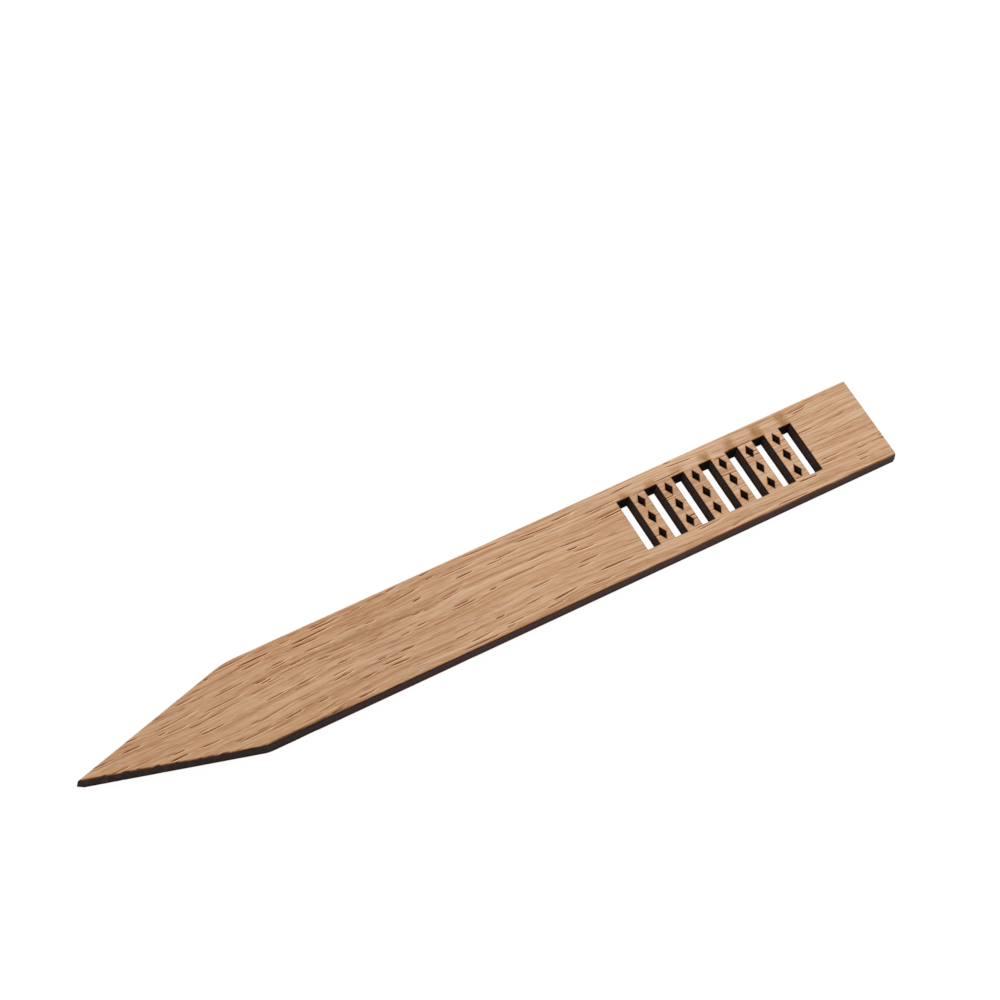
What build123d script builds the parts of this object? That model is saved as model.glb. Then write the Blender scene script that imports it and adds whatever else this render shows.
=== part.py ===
"""Plant label stake: a pointed strip of oak-veneered board with a fretwork band near its butt end."""

import os
from math import atan, degrees, radians, sin, tan

from build123d import *

os.makedirs("parts", exist_ok=True)

# Driving dimensions, in millimetres and degrees
stake_length = 180.0  # nose to butt end, on the front face
stake_width = 20.0
point_angle = 31.66  # between the two sides of the point
nose_radius = 0.1
shoulder_radius = 16.0
butt_corner_radius = 0.3

# The plies of the board
front_veneer_thickness = 0.5
core_thickness = 2.1
back_veneer_thickness = 0.5

# The beam enters at the front and its cut narrows towards the back, by this much on each wall
outline_lean = 0.12
band_lean = 0.35

# The fretwork band: tall slots, and bars between them that are pierced by rows of lozenges
slot_count = 7
slot_width = 3.0
bar_width = 3.5
rail_width = 3.7  # solid wood between the slots and each long edge
butt_margin = 15.7  # solid wood between the last slot and the butt end
lozenge_rows = 3
lozenge_width_share = 0.49  # of the bar
lozenge_height_share = 0.78  # of one row

# Levels, from the back face up
core_base = back_veneer_thickness
core_top = core_base + core_thickness
front_face = core_top + front_veneer_thickness
outline_angle = degrees(atan(outline_lean / front_face))
band_angle = degrees(atan(band_lean / front_face))

# The outline of the front face: the sides of the point meet at a sharp apex, which the nose rounds off
half_width = stake_width / 2
half_point = radians(point_angle / 2)
nose_x = -stake_length / 2
butt_x = stake_length / 2
apex_x = nose_x - nose_radius * (1 / sin(half_point) - 1)
shoulder_x = apex_x + half_width / tan(half_point)

# The layout of the band
slot_height = stake_width - 2 * rail_width
slot_pitch = slot_width + bar_width
band_length = slot_count * slot_width + (slot_count - 1) * bar_width
band_x = butt_x - butt_margin - band_length / 2
row_pitch = slot_height / lozenge_rows
lozenge_x = bar_width * lozenge_width_share / 2
lozenge_y = row_pitch * lozenge_height_share / 2

# The whole board as the beam leaves it: one outline and one band through all three plies
with BuildPart() as cut_board:
    with BuildSketch(Plane.XY.offset(front_face)) as outline:
        with BuildLine():
            Polyline(
                (apex_x, 0),
                (shoulder_x, half_width),
                (butt_x, half_width),
                (butt_x, -half_width),
                (shoulder_x, -half_width),
                close=True,
            )
        make_face()
        fillet(outline.vertices().group_by(Axis.X)[1], shoulder_radius)
        fillet(outline.vertices().group_by(Axis.X)[-1], butt_corner_radius)
        fillet(outline.vertices().group_by(Axis.X)[0], nose_radius)
    extrude(amount=-front_face)
    outline_walls = cut_board.faces().filter_by(Axis.Z, reverse=True)
    draft(outline_walls, Plane.XY.offset(front_face), outline_angle)

    with BuildSketch(Plane.XY.offset(front_face)) as band:
        with Locations((band_x, 0)):
            with GridLocations(slot_pitch, 0, slot_count, 1):
                Rectangle(slot_width, slot_height)
            with GridLocations(slot_pitch, row_pitch, slot_count - 1, lozenge_rows):
                Polygon(
                    (-lozenge_x, 0),
                    (0, lozenge_y),
                    (lozenge_x, 0),
                    (0, -lozenge_y),
                )
    extrude(amount=-front_face, mode=Mode.SUBTRACT)
    band_walls = cut_board.faces(Select.LAST).filter_by(Axis.Z, reverse=True)
    draft(band_walls, Plane.XY.offset(front_face), band_angle)

# Front veneer: the oak face that is shown when the stake stands in its pot
with BuildPart() as front_veneer:
    add(cut_board.part)
    split(bisect_by=Plane.XY.offset(core_top), keep=Keep.TOP)

# Core: the fibreboard that the two veneers are glued to
with BuildPart() as core:
    add(cut_board.part)
    split(bisect_by=Plane.XY.offset(core_top), keep=Keep.BOTTOM)
    split(bisect_by=Plane.XY.offset(core_base), keep=Keep.TOP)

# Back veneer: the oak face on the underside, which keeps the board flat
with BuildPart() as back_veneer:
    add(cut_board.part)
    split(bisect_by=Plane.XY.offset(core_base), keep=Keep.BOTTOM)

front_veneer.part.label = "front_veneer"
core.part.label = "core"
back_veneer.part.label = "back_veneer"

export_step(front_veneer.part, "parts/front_veneer.step")
export_step(core.part, "parts/core.step")
export_step(back_veneer.part, "parts/back_veneer.step")
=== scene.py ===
"""The look of a plant label stake: bare oak veneer on a board that a laser beam has cut and charred."""

import random
from math import atan, copysign, cos, log, pi, radians, sin

import bmesh
import bpy
from mathutils import Matrix, Vector


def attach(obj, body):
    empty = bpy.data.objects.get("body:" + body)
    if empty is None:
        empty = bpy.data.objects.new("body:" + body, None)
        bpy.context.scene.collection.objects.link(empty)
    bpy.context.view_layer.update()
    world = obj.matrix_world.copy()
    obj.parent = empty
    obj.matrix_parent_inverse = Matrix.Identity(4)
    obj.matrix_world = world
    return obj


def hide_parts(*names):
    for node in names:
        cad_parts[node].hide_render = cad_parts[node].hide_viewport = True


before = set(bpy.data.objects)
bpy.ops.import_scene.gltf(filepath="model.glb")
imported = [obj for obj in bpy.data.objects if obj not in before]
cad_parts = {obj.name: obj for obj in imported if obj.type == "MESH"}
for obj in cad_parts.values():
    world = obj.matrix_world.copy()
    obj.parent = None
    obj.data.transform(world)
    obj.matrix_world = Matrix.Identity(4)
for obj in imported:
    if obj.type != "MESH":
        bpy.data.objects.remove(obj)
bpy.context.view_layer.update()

# Camera
# A long lens looks down at the stake from its point's side, turned a little about its own axis,
# so that the stake climbs across the picture from the lower left to the right.
view_turn = 36.01  # degrees from the stake's width towards its length
view_height = 58.68  # degrees above the floor
view_roll = 7.62
view_distance = 0.6077  # metres
view_aim = Vector((0.01205, 0.01828, 0.00155))
lens_length = 107.85
film_width = 36.0

camera_turn = (
    Matrix.Rotation(-radians(view_turn), 4, "Z")
    @ Matrix.Rotation(radians(90 - view_height), 4, "X")
    @ Matrix.Rotation(radians(view_roll), 4, "Z")
)
camera = bpy.data.objects.new("camera", bpy.data.cameras.new("camera"))
camera.data.lens = lens_length
camera.data.sensor_width = film_width
camera.matrix_world = Matrix.Translation(view_aim) @ camera_turn @ Matrix.Translation((0, 0, view_distance))
bpy.context.scene.collection.objects.link(camera)
bpy.context.scene.camera = camera


# Front veneer
# The face of the stake is a sheet of flat-sliced oak, half a millimetre thick, sanded and left bare.
# Its open pores lie in loose rows along the grain. The beam has scorched its rim, and smoke from
# each slot has browned the wood beyond the slot's far end.
mm = 0.001


class Shade:
    """A socket of a material's nodes. Arithmetic on it adds Math nodes."""

    def __init__(self, tree, socket=None):
        self.tree = tree
        self.socket = socket

    def node(self, kind, settings, values, output=0):
        """Adds a node: its settings first, then the values or links of its sockets."""
        made = self.tree.nodes.new(kind)
        for name, setting in settings.items():
            setattr(made, name, setting)
        for name, value in values.items():
            if isinstance(value, Shade):
                self.tree.links.new(value.socket, made.inputs[name])
            else:
                made.inputs[name].default_value = value
        return Shade(self.tree, made.outputs[output] if made.outputs else None)

    def math(self, operation, *values):
        return self.node("ShaderNodeMath", {"operation": operation}, dict(enumerate(values)))

    def __add__(self, other):
        return self.math("ADD", self, other)

    def __sub__(self, other):
        return self.math("SUBTRACT", self, other)

    def __rsub__(self, other):
        return self.math("SUBTRACT", other, self)

    def __mul__(self, other):
        return self.math("MULTIPLY", self, other)

    def __truediv__(self, other):
        return self.math("DIVIDE", self, other)

    def __rtruediv__(self, other):
        return self.math("DIVIDE", other, self)

    __radd__ = __add__
    __rmul__ = __mul__

    def size(self):
        return self.math("ABSOLUTE", self)

    def wave(self):
        return self.math("SINE", self)

    def rounded(self):
        return self.math("ROUND", self)

    def or_less(self, limit):
        return self.math("MINIMUM", self, limit)

    def or_more(self, limit):
        return self.math("MAXIMUM", self, limit)

    def rise(self, low, high):
        """0 below low, 1 above high, and smooth between them."""
        ends = {"Value": self, "From Min": low, "From Max": high}
        return self.node("ShaderNodeMapRange", {"interpolation_type": "SMOOTHSTEP"}, ends)

    def mixed(self, first, second):
        """The first colour where this is 0, the second where it is 1."""
        # A Mix node takes its two colours at sockets 6 and 7, and gives their mix at output 2
        return self.node("ShaderNodeMix", {"data_type": "RGBA"}, {0: self, 6: first, 7: second}, output=2)


def srgb(red, green, blue):
    """A colour given as it shows on a screen, 0 to 255, in the linear form that shaders take."""
    parts = [channel / 255 for channel in (red, green, blue)]
    return (*[part / 12.92 if part <= 0.04045 else ((part + 0.055) / 1.055) ** 2.4 for part in parts], 1.0)


def new_finish(name):
    """A new material, with its place on the piece in millimetres as three sockets."""
    material = bpy.data.materials.new(name)
    material.use_nodes = True
    material.node_tree.nodes.clear()
    start = Shade(material.node_tree)
    place = start.node("ShaderNodeTexCoord", {}, {}, output="Object")
    parts = [start.node("ShaderNodeSeparateXYZ", {}, {"Vector": place}, output=axis) for axis in "XYZ"]
    return material, [part * (1 / mm) for part in parts]


def cloud(x, y, z, stretch, seed, detail=2.0, roughness=0.5, stagger=0.0):
    """Smooth noise from 0 to 1, whose blotches are as long as stretch, in millimetres, along each axis.

    Stagger shifts each line of blotches along x from the line beside it, by a share of a blotch.
    """
    spots = [part / length for part, length in zip((x, y, z + seed * stretch[2]), stretch)]
    if stagger:
        spots[0] = spots[0] + spots[1] * stagger
    place = x.node("ShaderNodeCombineXYZ", {}, dict(zip("XYZ", spots)))
    values = {"Vector": place, "Scale": 1.0, "Detail": detail, "Roughness": roughness}
    return x.node("ShaderNodeTexNoise", {"noise_dimensions": "3D"}, values)


def finish_surface(start, colour, roughness, relief, relief_depth):
    """Joins the colour, roughness and relief of a finish to its shader."""
    heights = {"Height": relief, "Strength": 1.0, "Distance": relief_depth}
    bump = start.node("ShaderNodeBump", {}, heights)
    values = {"Base Color": colour, "Roughness": roughness, "Normal": bump, "Specular IOR Level": 0.2}
    surface = start.node("ShaderNodeBsdfPrincipled", {}, values)
    start.node("ShaderNodeOutputMaterial", {}, {"Surface": surface})


# The stake's outline, in millimetres. Its walls lean out a little towards the back, and its nose
# runs half a millimetre further out than the solids' does.
nose_x = -90.5
shoulder_x = -55.0
half_point = radians(15.73)  # between the stake's axis and each side of the point
butt_x = 90.0
stake_half_width = 10.0
face_z = 3.1
veneer = 0.5
outline_lean = 0.12
near_setback = 0.9  # how far the arc of a shoulder starts from its corner
far_setback = 2.22
butt_corner_radius = 0.3
rim_radius = 0.18
cell_length = 3.1  # of the small faces that a ply is divided into, which the pores are cut from cleanly
cell_width = 1.9
touch = 0.1  # how near to a place an edge is when it counts as lying there
overrun = 0.2  # of a cutter past the face that it cuts

# Where the char has eaten the nose away above and below: how far back at which level, and how steeply
nose_facets = [(0.3, face_z, 1.1), (1.1, 0.0, -1.7)]

# The fretwork band. Its walls lean in towards the back.
band_start = 33.8  # the middle of the first slot
band_middle = 53.3
bars_half_length = 19.4  # from the band's middle to the end of its last bar
band_lean = 0.35
slot_pitch = 6.5
slot_count = 7
slot_half_width = 1.5
slot_half_height = 6.3
row_pitch = 4.2  # of the lozenges
lozenge_half_width = 0.86
lozenge_half_height = 1.64
lozenge_slant = 0.76  # the distance from a lozenge's middle to its sides


def as_mesh(name, shape):
    mesh = bpy.data.meshes.new(name)
    shape.to_mesh(mesh)
    shape.free()
    return mesh


def as_piece(name, shape):
    """A new object that holds the shape, with its place in its mesh."""
    piece = bpy.data.objects.new(name, as_mesh(name, shape))
    bpy.context.scene.collection.objects.link(piece)
    return piece


def carve(piece, cutter):
    """Takes the cutter's shapes out of the piece for good."""
    tool = as_piece("cutter", cutter)
    cut = piece.modifiers.new("cut", "BOOLEAN")
    cut.operation = "DIFFERENCE"
    cut.solver = "MANIFOLD"
    cut.object = tool
    carved = bpy.data.meshes.new_from_object(piece.evaluated_get(bpy.context.evaluated_depsgraph_get()))
    piece.modifiers.clear()
    piece.data = carved
    bpy.data.objects.remove(tool)


def round_edges(sheet, edges, offset, segments):
    bmesh.ops.bevel(
        sheet,
        geom=edges,
        offset=offset * mm,
        affect="EDGES",
        segments=segments,
        profile=0.5,
        material=-1,
    )


def edges_along(sheet, test):
    """The edges whose two ends both pass a test, which is given their places in millimetres."""
    return [edge for edge in sheet.edges if all(test(vertex.co / mm) for vertex in edge.verts)]


def bisected(sheet, spot, facing, clear_outer=False):
    """Cuts a sheet along a plane, and perhaps drops what lies beyond it. Gives the edges of the cut."""
    parts = [*sheet.verts, *sheet.edges, *sheet.faces]
    made = bmesh.ops.bisect_plane(sheet, geom=parts, plane_co=spot, plane_no=facing, clear_outer=clear_outer)
    return [part for part in made["geom_cut"] if isinstance(part, bmesh.types.BMEdge)]


def new_ply(high, low, eased=False):
    """A ply between two levels, before its band is cut, with its upper rim eased or left sharp."""
    sheet = bmesh.new()
    lean = outline_lean * (face_z - high) / face_z
    half_width = stake_half_width + lean
    corners = [
        (nose_x - lean / sin(half_point), 0.0),
        (shoulder_x, -half_width),
        (butt_x + lean, -half_width),
        (butt_x + lean, half_width),
        (shoulder_x, half_width),
    ]
    face = sheet.faces.new([sheet.verts.new(Vector((*corner, high)) * mm) for corner in corners])
    grown = bmesh.ops.extrude_face_region(sheet, geom=[face])["geom"]
    lower = [part for part in grown if isinstance(part, bmesh.types.BMVert)]

    # The lower outline is wider by the lean of the walls, and its nose runs out further than its sides
    growth = outline_lean * (high - low) / face_z
    bmesh.ops.translate(sheet, verts=lower, vec=Vector((0.0, 0.0, low - high)) * mm)
    bmesh.ops.scale(sheet, verts=lower, vec=(1.0 + growth / butt_x, 1.0 + growth / stake_half_width, 1.0))
    tip = [vertex for vertex in lower if vertex.co.x < nose_x * mm]
    bmesh.ops.translate(sheet, verts=tip, vec=Vector((growth - growth / sin(half_point), 0.0, 0.0)) * mm)
    bmesh.ops.recalc_face_normals(sheet, faces=sheet.faces)

    for side, setback in ((-1, near_setback), (1, far_setback)):
        shoulder = edges_along(sheet, lambda place: abs(place.x - shoulder_x) < touch and place.y * side > 0)
        round_edges(sheet, shoulder, setback, segments=6)

    # At the butt only a veneer's upright edges are under a millimetre long. The board's stay sharp.
    butt = edges_along(sheet, lambda place: place.x > butt_x - touch)
    upright = [edge for edge in butt if edge.calc_length() < mm]
    round_edges(sheet, upright, butt_corner_radius, segments=4)
    if eased:
        upper_rim = edges_along(sheet, lambda place: abs(place.z - high) < touch)
        round_edges(sheet, upper_rim, rim_radius, segments=3)

    for setback, level, slant in nose_facets:
        spot = Vector((nose_x + setback, 0.0, level)) * mm
        rim = bisected(sheet, spot, Vector((-1.0, 0.0, slant)), clear_outer=True)
        bmesh.ops.edgenet_fill(sheet, edges=rim)
    for step, axis, reach in (
        (cell_length, Vector((1.0, 0.0, 0.0)), butt_x),
        (cell_width, Vector((0.0, 1.0, 0.0)), stake_half_width),
    ):
        for number in range(1 - round(reach / step), round(reach / step)):
            bisected(sheet, axis * number * step * mm, axis)
    return sheet


def band_cutter(high, low):
    """The band's cut-outs between two levels: boxes for the slots and four-sided cones for the lozenges."""
    cutter = bmesh.new()
    leans = {level: band_lean * (face_z - level) / face_z for level in (high, low)}
    for number in range(slot_count):
        slot_x = band_start + number * slot_pitch
        for vertex in bmesh.ops.create_cube(cutter, size=1.0)["verts"]:
            level = high if vertex.co.z > 0 else low
            along = copysign(slot_half_width - leans[level], vertex.co.x)
            across = copysign(slot_half_height - leans[level], vertex.co.y)
            vertex.co = Vector((slot_x + along, across, level)) * mm
        for row in (-1, 0, 1) if number else ():
            middle = Vector((slot_x - slot_pitch / 2, row * row_pitch, (high + low) / 2))
            size = Vector((lozenge_half_width, lozenge_half_height, 1.0, 1 / mm)) * mm
            bmesh.ops.create_cone(
                cutter,
                cap_ends=True,
                segments=4,
                radius1=1.0 - leans[low] / lozenge_slant,
                radius2=1.0 - leans[high] / lozenge_slant,
                depth=high - low,
                matrix=Matrix.Translation(middle * mm) @ Matrix.Diagonal(size),
            )
    return cutter


# How the grain wanders sideways: height and length of each bend, its start, and its lag across the stake
grain_bends = [
    (0.95, 190.0, 1.55, 0.03),
    (0.32, 47.0, 0.6, 0.20),
    (0.09, 19.0, 1.0, 0.60),
    (0.02, 9.0, 3.0, 1.40),
]


def grain_drift(x, y, wave):
    return sum(
        height * wave(x * (2 * pi / length) + y * lag + start)
        for height, length, start, lag in grain_bends
    )


def grain_slope(x, y):
    return sum(
        height * 2 * pi / length * cos(x * (2 * pi / length) + y * lag + start)
        for height, length, start, lag in grain_bends
    )


# The pores: vessels that the slicer has laid open. They lie in a row along the early wood of each ring,
# singly or two or three side by side, and each dives a little, so it is deeper at one end.
ring_pitch = 2.5
ring_jitter = 0.3
ring_wander = 0.5  # how far a row strays sideways at most
ring_step = 0.35  # how far it strays from one bunch to the next
bunch_gap = 2.7  # the mean bare stretch between two bunches of a row, where they lie closest
bunch_counts = (1, 1, 2, 2, 3)
bunch_step = 0.48  # from one pore to the pore beside it
bunch_shift = 1.2  # how far a pore slides along its bunch
lane_jitter = 0.05
pore_length = (5.8, 0.5)  # the middle length, and the spread of its logarithm
longest_pore = 12.0
pore_width = (0.16, 0.33)
pore_depth = (0.05, 0.11)
pore_dive = 0.7  # of its depth
pore_stray = 0.010
lip_width = 0.12  # how far sanding has worn a shallow lip on each side of a pore
lip_depth = 0.035
pore_clearance = 0.24
spindle_bar = 0.9  # how long the straight part of a pore is, in half lengths of the pore

# Where the bunches lie closest, and over what length and by what share they spread on each side of it,
# and then once more from the band to the butt
dense_x = -45.0
point_spread = (45.0, 0.5)
middle_spread = (25.0, 1.7)
band_x = 26.0
butt_spread = (64.0, 7.0)


def pore_thinning(x):
    """How much further apart the bunches lie at a place along the stake than where they lie closest."""
    point = max(0.0, (dense_x - x) / point_spread[0])
    middle = min(1.0, max(0.0, (x - dense_x) / middle_spread[0]))
    butt = max(0.0, (x - band_x) / butt_spread[0])
    return 1.0 + point_spread[1] * point + middle_spread[1] * middle + butt_spread[1] * butt


def spindle_form():
    """A round bar with a point at each end, one unit from its middle to each side and to each point."""
    form = bmesh.new()
    lying = Matrix.Rotation(radians(90), 4, "Y")
    bmesh.ops.create_cone(
        form,
        cap_ends=True,
        segments=8,
        radius1=1.0,
        radius2=1.0,
        depth=spindle_bar,
        matrix=lying,
    )
    ends = [face for face in form.faces if len(face.verts) == 8]
    bmesh.ops.poke(form, faces=ends, offset=1.0 - spindle_bar / 2)
    return as_mesh("spindle", form)


def too_near(one, other):
    """Whether two pores would run into each other.

    Each is given as its middle's x and y, its slope, its half length and its half width.
    """
    low = max(one[0] - one[3], other[0] - other[3]) - pore_clearance
    high = min(one[0] + one[3], other[0] + other[3]) + pore_clearance
    gaps = [one[1] - other[1] + one[2] * (x - one[0]) - other[2] * (x - other[0]) for x in (low, high)]
    apart = one[4] + other[4] + pore_clearance
    return low < high and (min(abs(gap) for gap in gaps) < apart or gaps[0] * gaps[1] < 0)


def cut_pores(dice, level, lips=False):
    """Spindles that stand half sunk in a face, one for each pore, or one for the lip round each pore."""
    spindle = spindle_form()
    cutter = bmesh.new()
    placed = []
    ring_count = round(2 * stake_half_width / ring_pitch)
    for ring in range(-1, ring_count + 1):
        ring_y = -stake_half_width + (ring + 0.5) * ring_pitch + dice.uniform(-ring_jitter, ring_jitter)
        x = nose_x
        stray = 0.0
        while x < butt_x:
            x += dice.expovariate(1.0 / (bunch_gap * pore_thinning(x)))
            stray = max(-ring_wander, min(ring_wander, stray + dice.uniform(-ring_step, ring_step)))
            reach = x
            for lane in range(dice.choice(bunch_counts)):
                half_length = min(longest_pore, dice.lognormvariate(log(pore_length[0]), pore_length[1])) / 2
                half_width = dice.uniform(*pore_width) / 2
                depth = dice.uniform(*pore_depth)
                middle = x + half_length + dice.uniform(-bunch_shift, bunch_shift)
                line = ring_y + stray + lane * bunch_step + dice.uniform(-lane_jitter, lane_jitter)
                slope = grain_slope(middle, line) + dice.uniform(-pore_stray, pore_stray)
                pore = (middle, line + grain_drift(middle, line, sin), slope, half_length, half_width)
                if any(too_near(pore, other) for other in placed):
                    continue
                placed.append(pore)
                dive = atan(pore_dive * depth / half_length)
                size = Vector((half_length, half_width, depth, 1 / mm)) * mm
                if lips:
                    dive = 0.0
                    size = Vector((half_length + lip_width, half_width + lip_width, lip_depth, 1 / mm)) * mm
                groove = spindle.copy()
                groove.transform(
                    Matrix.Translation(Vector((pore[0], pore[1], level)) * mm)
                    @ Matrix.Rotation(atan(slope), 4, "Z")
                    @ Matrix.Rotation(-dive, 4, "Y")
                    @ Matrix.Diagonal(size)
                )
                cutter.from_mesh(groove)
                bpy.data.meshes.remove(groove)
                reach = max(reach, middle + half_length)
            x = reach
    return cutter


face_seed = 5  # places both the lips and the pores of the face, so that each lip lies round its pore

oak_face = as_piece("oak_face", new_ply(face_z, face_z - veneer, eased=True))
carve(oak_face, band_cutter(face_z + overrun, face_z - veneer - overrun))
carve(oak_face, cut_pores(random.Random(face_seed), face_z, lips=True))
carve(oak_face, cut_pores(random.Random(face_seed), face_z))

# Its colours, as they show in even light
oak_pale = srgb(221, 183, 147)
oak_mid = srgb(198, 156, 118)
oak_warm = srgb(203, 154, 108)
oak_streak = srgb(154, 96, 46)
oak_fleck = srgb(232, 203, 175)
# The pores' brown is partly their stain and partly painted shade in their grooves
pore_stain_and_shade = srgb(132, 60, 5)
# The lips' colours are painted light: a brown painted shade on a lip facing away from the lamp, a pale
# painted highlight on one facing it
lip_shade = srgb(186, 122, 64)
lip_highlight = srgb(246, 216, 182)
scorch_orange = srgb(166, 102, 54)
smoke_brown = srgb(162, 112, 58)
char_black = srgb(42, 28, 26)
# Within the band's cut-outs the char is a little darker, as painted shade in these recesses
slot_char_and_shade = srgb(36, 25, 21)


def oak_figure(x, y, z, seed):
    """The oak's colour before any scorching, and the relief of its fibres.

    The figure is drawn along the grain: broad bands first, then streaks, threads, fibres, pores too fine
    to be cut, painted dark partly as stain and partly as painted shade, and pale flecks. Towards the butt
    it is paler, partly as painted light brightening the face towards the lamp, and its fibres stand out
    more.
    """
    across = y - grain_drift(x, y, Shade.wave)
    bands = cloud(x, across, z, (90.0, 1.5, 30.0), seed, detail=3.0, roughness=0.6).rise(0.34, 0.66)
    warmth = cloud(x, across, z, (60.0, 3.2, 30.0), seed + 11).rise(0.35, 0.7)
    fibres = cloud(x, across, z, (14.0, 0.24, 20.0), seed + 23, detail=1.0, roughness=0.6, stagger=0.43)
    threads = cloud(x, across, z, (38.0, 0.42, 30.0), seed + 31, detail=1.0, roughness=0.6, stagger=0.37)
    streaks = cloud(x, across, z, (44.0, 0.95, 30.0), seed + 37, roughness=0.55, stagger=0.41)
    dashes = cloud(x, across, z, (5.0, 0.26, 20.0), seed + 43, detail=0.0, stagger=0.39)
    flecks = cloud(x, across, z, (2.6, 0.26, 20.0), seed + 47, detail=1.0, roughness=0.6, stagger=0.47)
    to_butt = x.rise(-110.0, 100.0)
    # Paler towards the butt: partly the oak's tone and partly painted light, brightening the face towards
    # the lamp's side
    colour = (bands * 0.9 + 0.66 - to_butt * 1.22).mixed(oak_pale, oak_mid)
    colour = (warmth * 0.5).mixed(colour, oak_warm)
    colour = (streaks.rise(0.44, 0.72) * (0.55 - to_butt * 0.19)).mixed(colour, oak_streak)
    colour = (threads.rise(0.53, 0.64) * (0.24 + to_butt * 0.16)).mixed(colour, oak_streak)
    colour = (fibres.rise(0.52, 0.64) * (0.14 + to_butt * 0.34)).mixed(colour, oak_streak)
    # Pores too fine to cut are painted as dark dashes, partly stain and partly painted shade
    fine_pores = dashes.rise(0.66, 0.72) * streaks.rise(0.4, 0.52) * (0.8 - x.rise(dense_x, 0.0) * 0.35)
    colour = fine_pores.mixed(colour, pore_stain_and_shade)
    colour = (flecks.rise(0.56, 0.66) * 0.3).mixed(colour, oak_fleck)
    return colour, fibres


def cut_gap(x, y):
    """How far a spot is from the nearest cut-out, and how far along x from the nearest slot's middle."""
    slot_number = ((x - band_start) / slot_pitch).rounded().or_more(0.0).or_less(slot_count - 1)
    beyond_slot = x - band_start - slot_number * slot_pitch
    from_slot = beyond_slot.size()
    slot_gap = (from_slot - slot_half_width).or_more(y.size() - slot_half_height)
    from_row = (y - (y / row_pitch).rounded() * row_pitch).size()
    share = (from_slot - slot_pitch / 2).size() / lozenge_half_width + from_row / lozenge_half_height
    past_rows = y.size().rise(slot_half_height, slot_half_height + 0.1)
    past_bars = (x - band_middle).size().rise(bars_half_length, bars_half_length + 0.2)
    lozenge_gap = (share - 1) * lozenge_slant + past_rows + past_bars
    return slot_gap.or_less(lozenge_gap), beyond_slot


def in_band(x, y):
    """1 within the band and 0 outside it."""
    across = 1 - y.size().rise(slot_half_height + 0.2, slot_half_height + 0.5)
    return across * (1 - (x - band_middle).size().rise(bars_half_length + 2.6, bars_half_length + 4.6))


oak, (x, y, z) = new_finish("scorched oak face")
colour, fibres = oak_figure(x, y, z, 1.0)
depth = face_z - z

# Smoke beyond the far end of each slot, which drifts further towards the butt
smoke_shift = 0.4  # towards the butt, from the middle of the slot
smoke_core = 0.5  # half the width of a patch where it is darkest, and where it ends
smoke_edge = 1.9
smoke_reach = 7.4  # from the stake's middle, at the first slots
smoke_drift = 1.9  # how much further it reaches at the last ones
fringe = 0.14  # how far the scorching spreads from each cut-out

gap, beyond_slot = cut_gap(x, y)
soot = cloud(x, y, z, (1.1, 2.2, 9.0), seed=71.0, detail=3.0)
drift_end = x.rise(36.0, 74.0) * smoke_drift + smoke_reach
smoke = (1 - (beyond_slot - smoke_shift).size().rise(smoke_core, smoke_edge)) * y.rise(5.9, slot_half_height)
smoke = smoke * (1 - (y - drift_end).rise(-0.9, 1.1))
colour = (smoke * (soot.rise(0.3, 0.7) * 0.6 + 0.4) * 0.9).mixed(colour, smoke_brown)
scorch = (1 - gap.rise(0.0, fringe)) * (soot.rise(0.3, 0.6) * 0.5 + 0.2)
colour = scorch.mixed(colour, scorch_orange)

# Pores darken with their depth, partly from their stain and partly as painted shade in the groove. Of the
# two
# # lips of a pore, the one facing the lamp gets a pale painted highlight, and the other a brown painted
# shade.
lip = depth.rise(0.001, 0.006) * (1 - depth.rise(0.02, 0.04))
facing = x.node("ShaderNodeNewGeometry", {}, {}, output="True Normal")
tilt = x.node("ShaderNodeSeparateXYZ", {}, {"Vector": facing}, output="Y")
colour = (lip * (1 - tilt.rise(-0.12, 0.05)) * 0.85).mixed(colour, lip_shade)
colour = (lip * tilt.rise(0.0, 0.12) * 0.95).mixed(colour, lip_highlight)
pale_pores = cloud(x, y, z, (7.0, 0.9, 9.0), seed=61.0).rise(0.4, 0.6) * 0.45
# Darker with depth: partly stain, partly painted shade in the groove
colour = (depth.rise(0.022, 0.05) * (1 - pale_pores)).mixed(colour, pore_stain_and_shade)

# How deep below the face the rim stays bare: least along the near side, and more at the point
# and towards the butt. Pores and lips away from every cut edge don't count as rim.
nose_zone = (-66.0, -58.0)  # from the bare rim of the point to the charred rim after it
ragged = cloud(x, y, z, (2.2, 2.2, 3.0), seed=83.0, detail=3.0).rise(0.2, 0.8)
bare = x.rise(-22.0, 0.0) * 0.07 + x.rise(0.0, 60.0) * 0.23 + (1 - x.rise(*nose_zone)) * 0.23
bare = bare + ragged * 0.1 + y.rise(-1.0, 1.0) * 0.06 - 0.04
bare = bare * gap.rise(0.1, 0.4) + 0.01
point_gap = (x - nose_x) * sin(half_point) - y.size() * cos(half_point)
rim_gap = (stake_half_width - y.size()).or_less(butt_x - x).or_less(point_gap)
by_cut = 1 - gap.or_less(rim_gap).rise(0.1, 0.35)
browned = (depth - bare).rise(-0.09, 0.02) * by_cut
charred = (depth - bare).rise(0.0, 0.06) * by_cut

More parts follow.
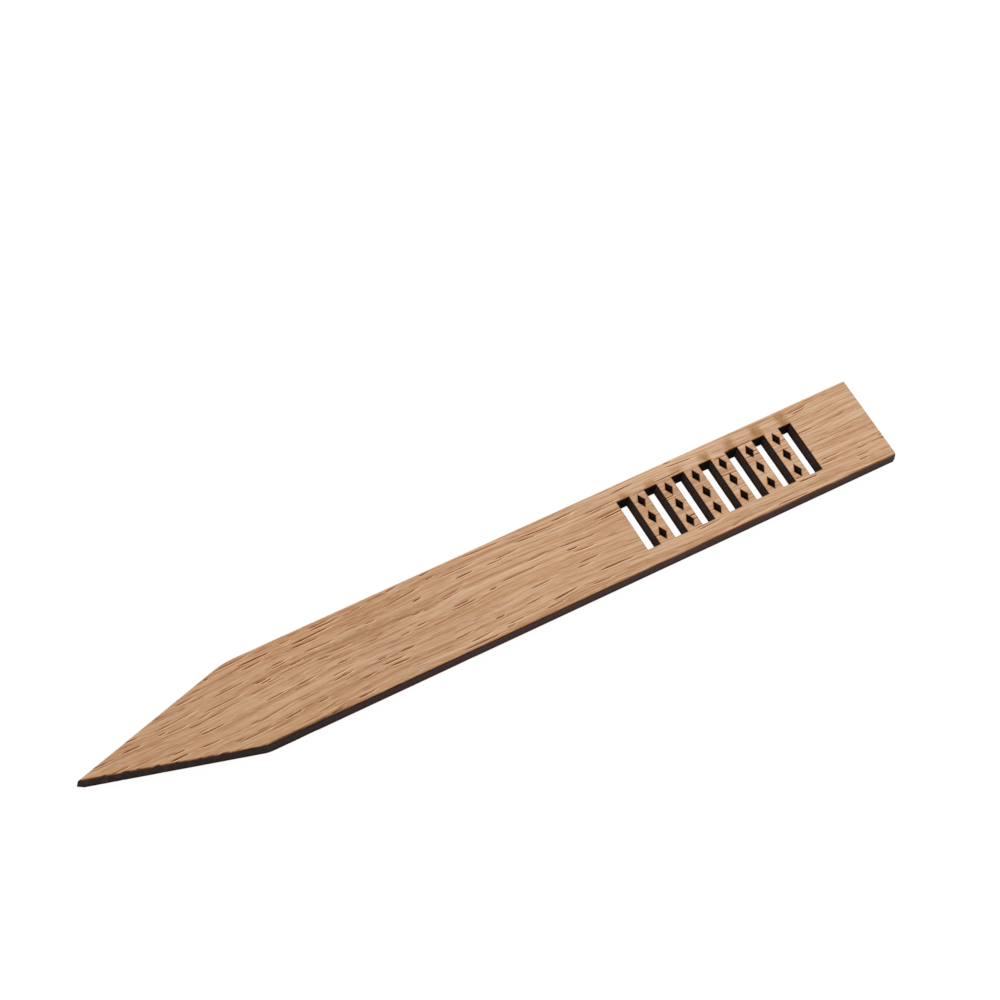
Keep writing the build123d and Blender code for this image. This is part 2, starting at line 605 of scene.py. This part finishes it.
# Along the near edge the char comes over the rim: as a stained strip after the shoulder,
# and as nicks along the point. It also caps the nose.
char_start = (-64.0, -54.0)
stain_start = (-66.0, -54.0)
edge_gap = y + stake_half_width - ragged * 0.35
strip = x.rise(*char_start) * (1 - x.rise(-44.0, -30.0)) * (1 - edge_gap.rise(-0.1, 0.45))
stain = x.rise(*stain_start) * (1 - x.rise(-42.0, -24.0)) * (1 - edge_gap.rise(0.2, 0.9))
nicks = cloud(x, y, z, (3.0, 1.4, 3.0), seed=89.0).rise(0.42, 0.72) * 0.24
nicked = (1 - (point_gap - nicks).rise(-0.02, 0.16)) * (1 - x.rise(-66.0, -57.0)) * (1 - y.rise(-0.4, 0.0))
nose_cap = 1 - (x - nose_x - ragged * 0.5).rise(0.1, 0.5)
over_rim = strip.or_more(nicked * nicks.rise(0.02, 0.12)).or_more(nose_cap)
colour = (browned * 0.55).mixed(colour, scorch_orange)
colour = (stain * 0.45).mixed(colour, smoke_brown)
charred = charred.or_more(over_rim * 0.85)
# In the band the char is darkened further as painted shade inside the cut-outs
colour = charred.mixed(colour, in_band(x, y).mixed(char_black, slot_char_and_shade))
roughness = charred * 0.2 + 0.62
relief_depth = 0.03 * mm
finish_surface(x, colour, roughness, fibres, relief_depth)
oak_face.data.materials.clear()
oak_face.data.materials.append(oak)
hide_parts("front_veneer")
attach(oak_face, "root")


# Core
# The middle of the board is fibreboard, two millimetres thick. The veneers hide its faces,
# so only the walls that the beam has left show: an even crust of char, finely striped from top to bottom.
crust_dark = srgb(44, 31, 29)
crust_pale = srgb(84, 65, 62)
# The near-black of the slots' ends is painted shade
slot_end_shade = srgb(24, 16, 13)
crust_brown = srgb(88, 69, 63)
board_brown = srgb(104, 76, 60)

board = as_piece("board", new_ply(face_z - veneer, veneer))
carve(board, band_cutter(face_z - veneer + overrun, veneer - overrun))

crust, (x, y, z) = new_finish("charred fibreboard")
stripes = cloud(x, y, z, (0.3, 0.3, 5.0), seed=3.0, roughness=0.6)
facets = cloud(x, y, z, (1.3, 1.3, 2.5), seed=17.0)
patches = cloud(x, y, z, (14.0, 3.0, 9.0), seed=7.0)
by_point = 1 - x.rise(-75.0, -40.0)  # where the wall is faceted
ash = x.rise(-95.0, 30.0) * 0.8 + patches * 0.25 - 0.15 + facets.rise(0.5, 0.7) * by_point * 0.4
colour = ash.mixed(crust_dark, crust_pale)
colour = (stripes.rise(0.35, 0.75) * 0.3).mixed(colour, crust_dark)

# The top of the outer wall stays browner towards the butt. In the slots the ends get painted shade,
# # darker than the walls across the stake, for the little light that reaches them.
inside = in_band(x, y)
colour = (x.rise(20.0, 88.0) * z.rise(2.2, 2.6) * (1 - inside) * 0.3).mixed(colour, board_brown)
facing = x.node("ShaderNodeNewGeometry", {}, {}, output="True Normal")
sideways = x.node("ShaderNodeSeparateXYZ", {}, {"Vector": facing}, output="X").size()
slot_crust_and_shade = (sideways * (stripes.rise(0.3, 0.7) * 0.5 + 0.5)).mixed(slot_end_shade, crust_brown)
colour = inside.mixed(colour, slot_crust_and_shade)
finish_surface(x, colour, stripes * 0.2 + 0.65, stripes + facets * by_point * 3, relief_depth)
board.data.materials.clear()
board.data.materials.append(crust)
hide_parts("core")
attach(board, "root")


# Back veneer
# A second sheet of the same oak is glued to the underside to keep the board flat. Its cut edge is charred
# all the way down, apart from the last tenth of a millimetre, where the beam left the wood.
back_seed = 23  # places the pores of the back

oak_back = as_piece("oak_back", new_ply(veneer, 0.0))
carve(oak_back, band_cutter(veneer + overrun, -overrun))
carve(oak_back, cut_pores(random.Random(back_seed), 0.0))

edge_black = srgb(24, 14, 11)
edge_red = srgb(176, 92, 58)
back_relief_depth = 0.02 * mm

back_oak, (x, y, z) = new_finish("scorched oak back")
colour, fibres = oak_figure(x, y, z, 131.0)
bare_edge = (0.06, 0.18)  # from the bare foot of the cut edge to its char
nose_end = (nose_x + 1.0, nose_x + 1.4)
charred = z.rise(*bare_edge).or_more(1 - x.rise(*nose_end))
colour = charred.mixed(colour, edge_black)

# The foot of the near edge is reddened in the middle of the stake
near_edge = 1 - y.rise(-stake_half_width, 0.2 - stake_half_width)
reddened = (1 - z.rise(0.12, 0.42)) * x.rise(-50.0, -36.0) * (1 - x.rise(2.0, 24.0)) * near_edge
colour = (reddened * 0.7).mixed(colour, edge_red)
finish_surface(x, colour, charred * 0.2 + 0.62, fibres, back_relief_depth)
oak_back.data.materials.clear()
oak_back.data.materials.append(back_oak)
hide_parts("back_veneer")
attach(oak_back, "root")


# Floor
# A white sweep lies under the stake and far around it. The camera sees it as nearly pure white,
# but it keeps the stake's soft shadow.
floor_size = 6.0  # metres
floor_drop = 0.02  # millimetres below the stake's back face
floor_white = (0.9, 0.9, 0.9, 1.0)
glow_level = 1.06
glow_share = 0.9  # of what the camera sees

floor_shape = bmesh.new()
bmesh.ops.create_grid(floor_shape, x_segments=1, y_segments=1, size=floor_size / 2)
bmesh.ops.translate(floor_shape, verts=floor_shape.verts, vec=Vector((0.0, 0.0, -floor_drop)) * mm)
floor = as_piece("floor", floor_shape)
paper = bpy.data.materials.new("white paper")
paper.use_nodes = True
paper.node_tree.nodes.clear()
start = Shade(paper.node_tree)
rays = start.node("ShaderNodeLightPath", {}, {}, output="Is Camera Ray")
matt = start.node("ShaderNodeBsdfDiffuse", {}, {"Color": floor_white})
glow = start.node("ShaderNodeEmission", {}, {"Color": (1.0, 1.0, 1.0, 1.0), "Strength": glow_level})
surface = start.node("ShaderNodeMixShader", {}, {0: rays * glow_share, 1: matt, 2: glow})
start.node("ShaderNodeOutputMaterial", {}, {"Surface": surface})
floor.data.materials.append(paper)


# Light
# One broad lamp stands behind the stake and above it, and an even white room fills the rest.
# The camera sees the room itself as pure white.
room_level = 0.62
lamp_level = 4.7  # watts
lamp_size = 0.45  # metres
lamp_place = Vector((0.40, 0.62, 0.50))

lamp = bpy.data.objects.new("lamp", bpy.data.lights.new("lamp", "AREA"))
lamp.data.shape = "SQUARE"
lamp.data.size = lamp_size
lamp.data.energy = lamp_level
lamp.matrix_world = Matrix.Translation(lamp_place) @ lamp_place.to_track_quat("Z", "Y").to_matrix().to_4x4()
bpy.context.scene.collection.objects.link(lamp)

room = bpy.data.worlds.new("room")
room.use_nodes = True
room.node_tree.nodes.clear()
start = Shade(room.node_tree)
rays = start.node("ShaderNodeLightPath", {}, {}, output="Is Camera Ray")
fill = start.node("ShaderNodeBackground", {}, {"Color": (1.0, 1.0, 1.0, 1.0), "Strength": room_level})
white = start.node("ShaderNodeBackground", {}, {"Color": (1.0, 1.0, 1.0, 1.0), "Strength": 1.0})
surface = start.node("ShaderNodeMixShader", {}, {0: rays, 1: fill, 2: white})
start.node("ShaderNodeOutputWorld", {}, {"Surface": surface})
bpy.context.scene.world = room
bpy.context.scene.view_settings.view_transform = "Standard"
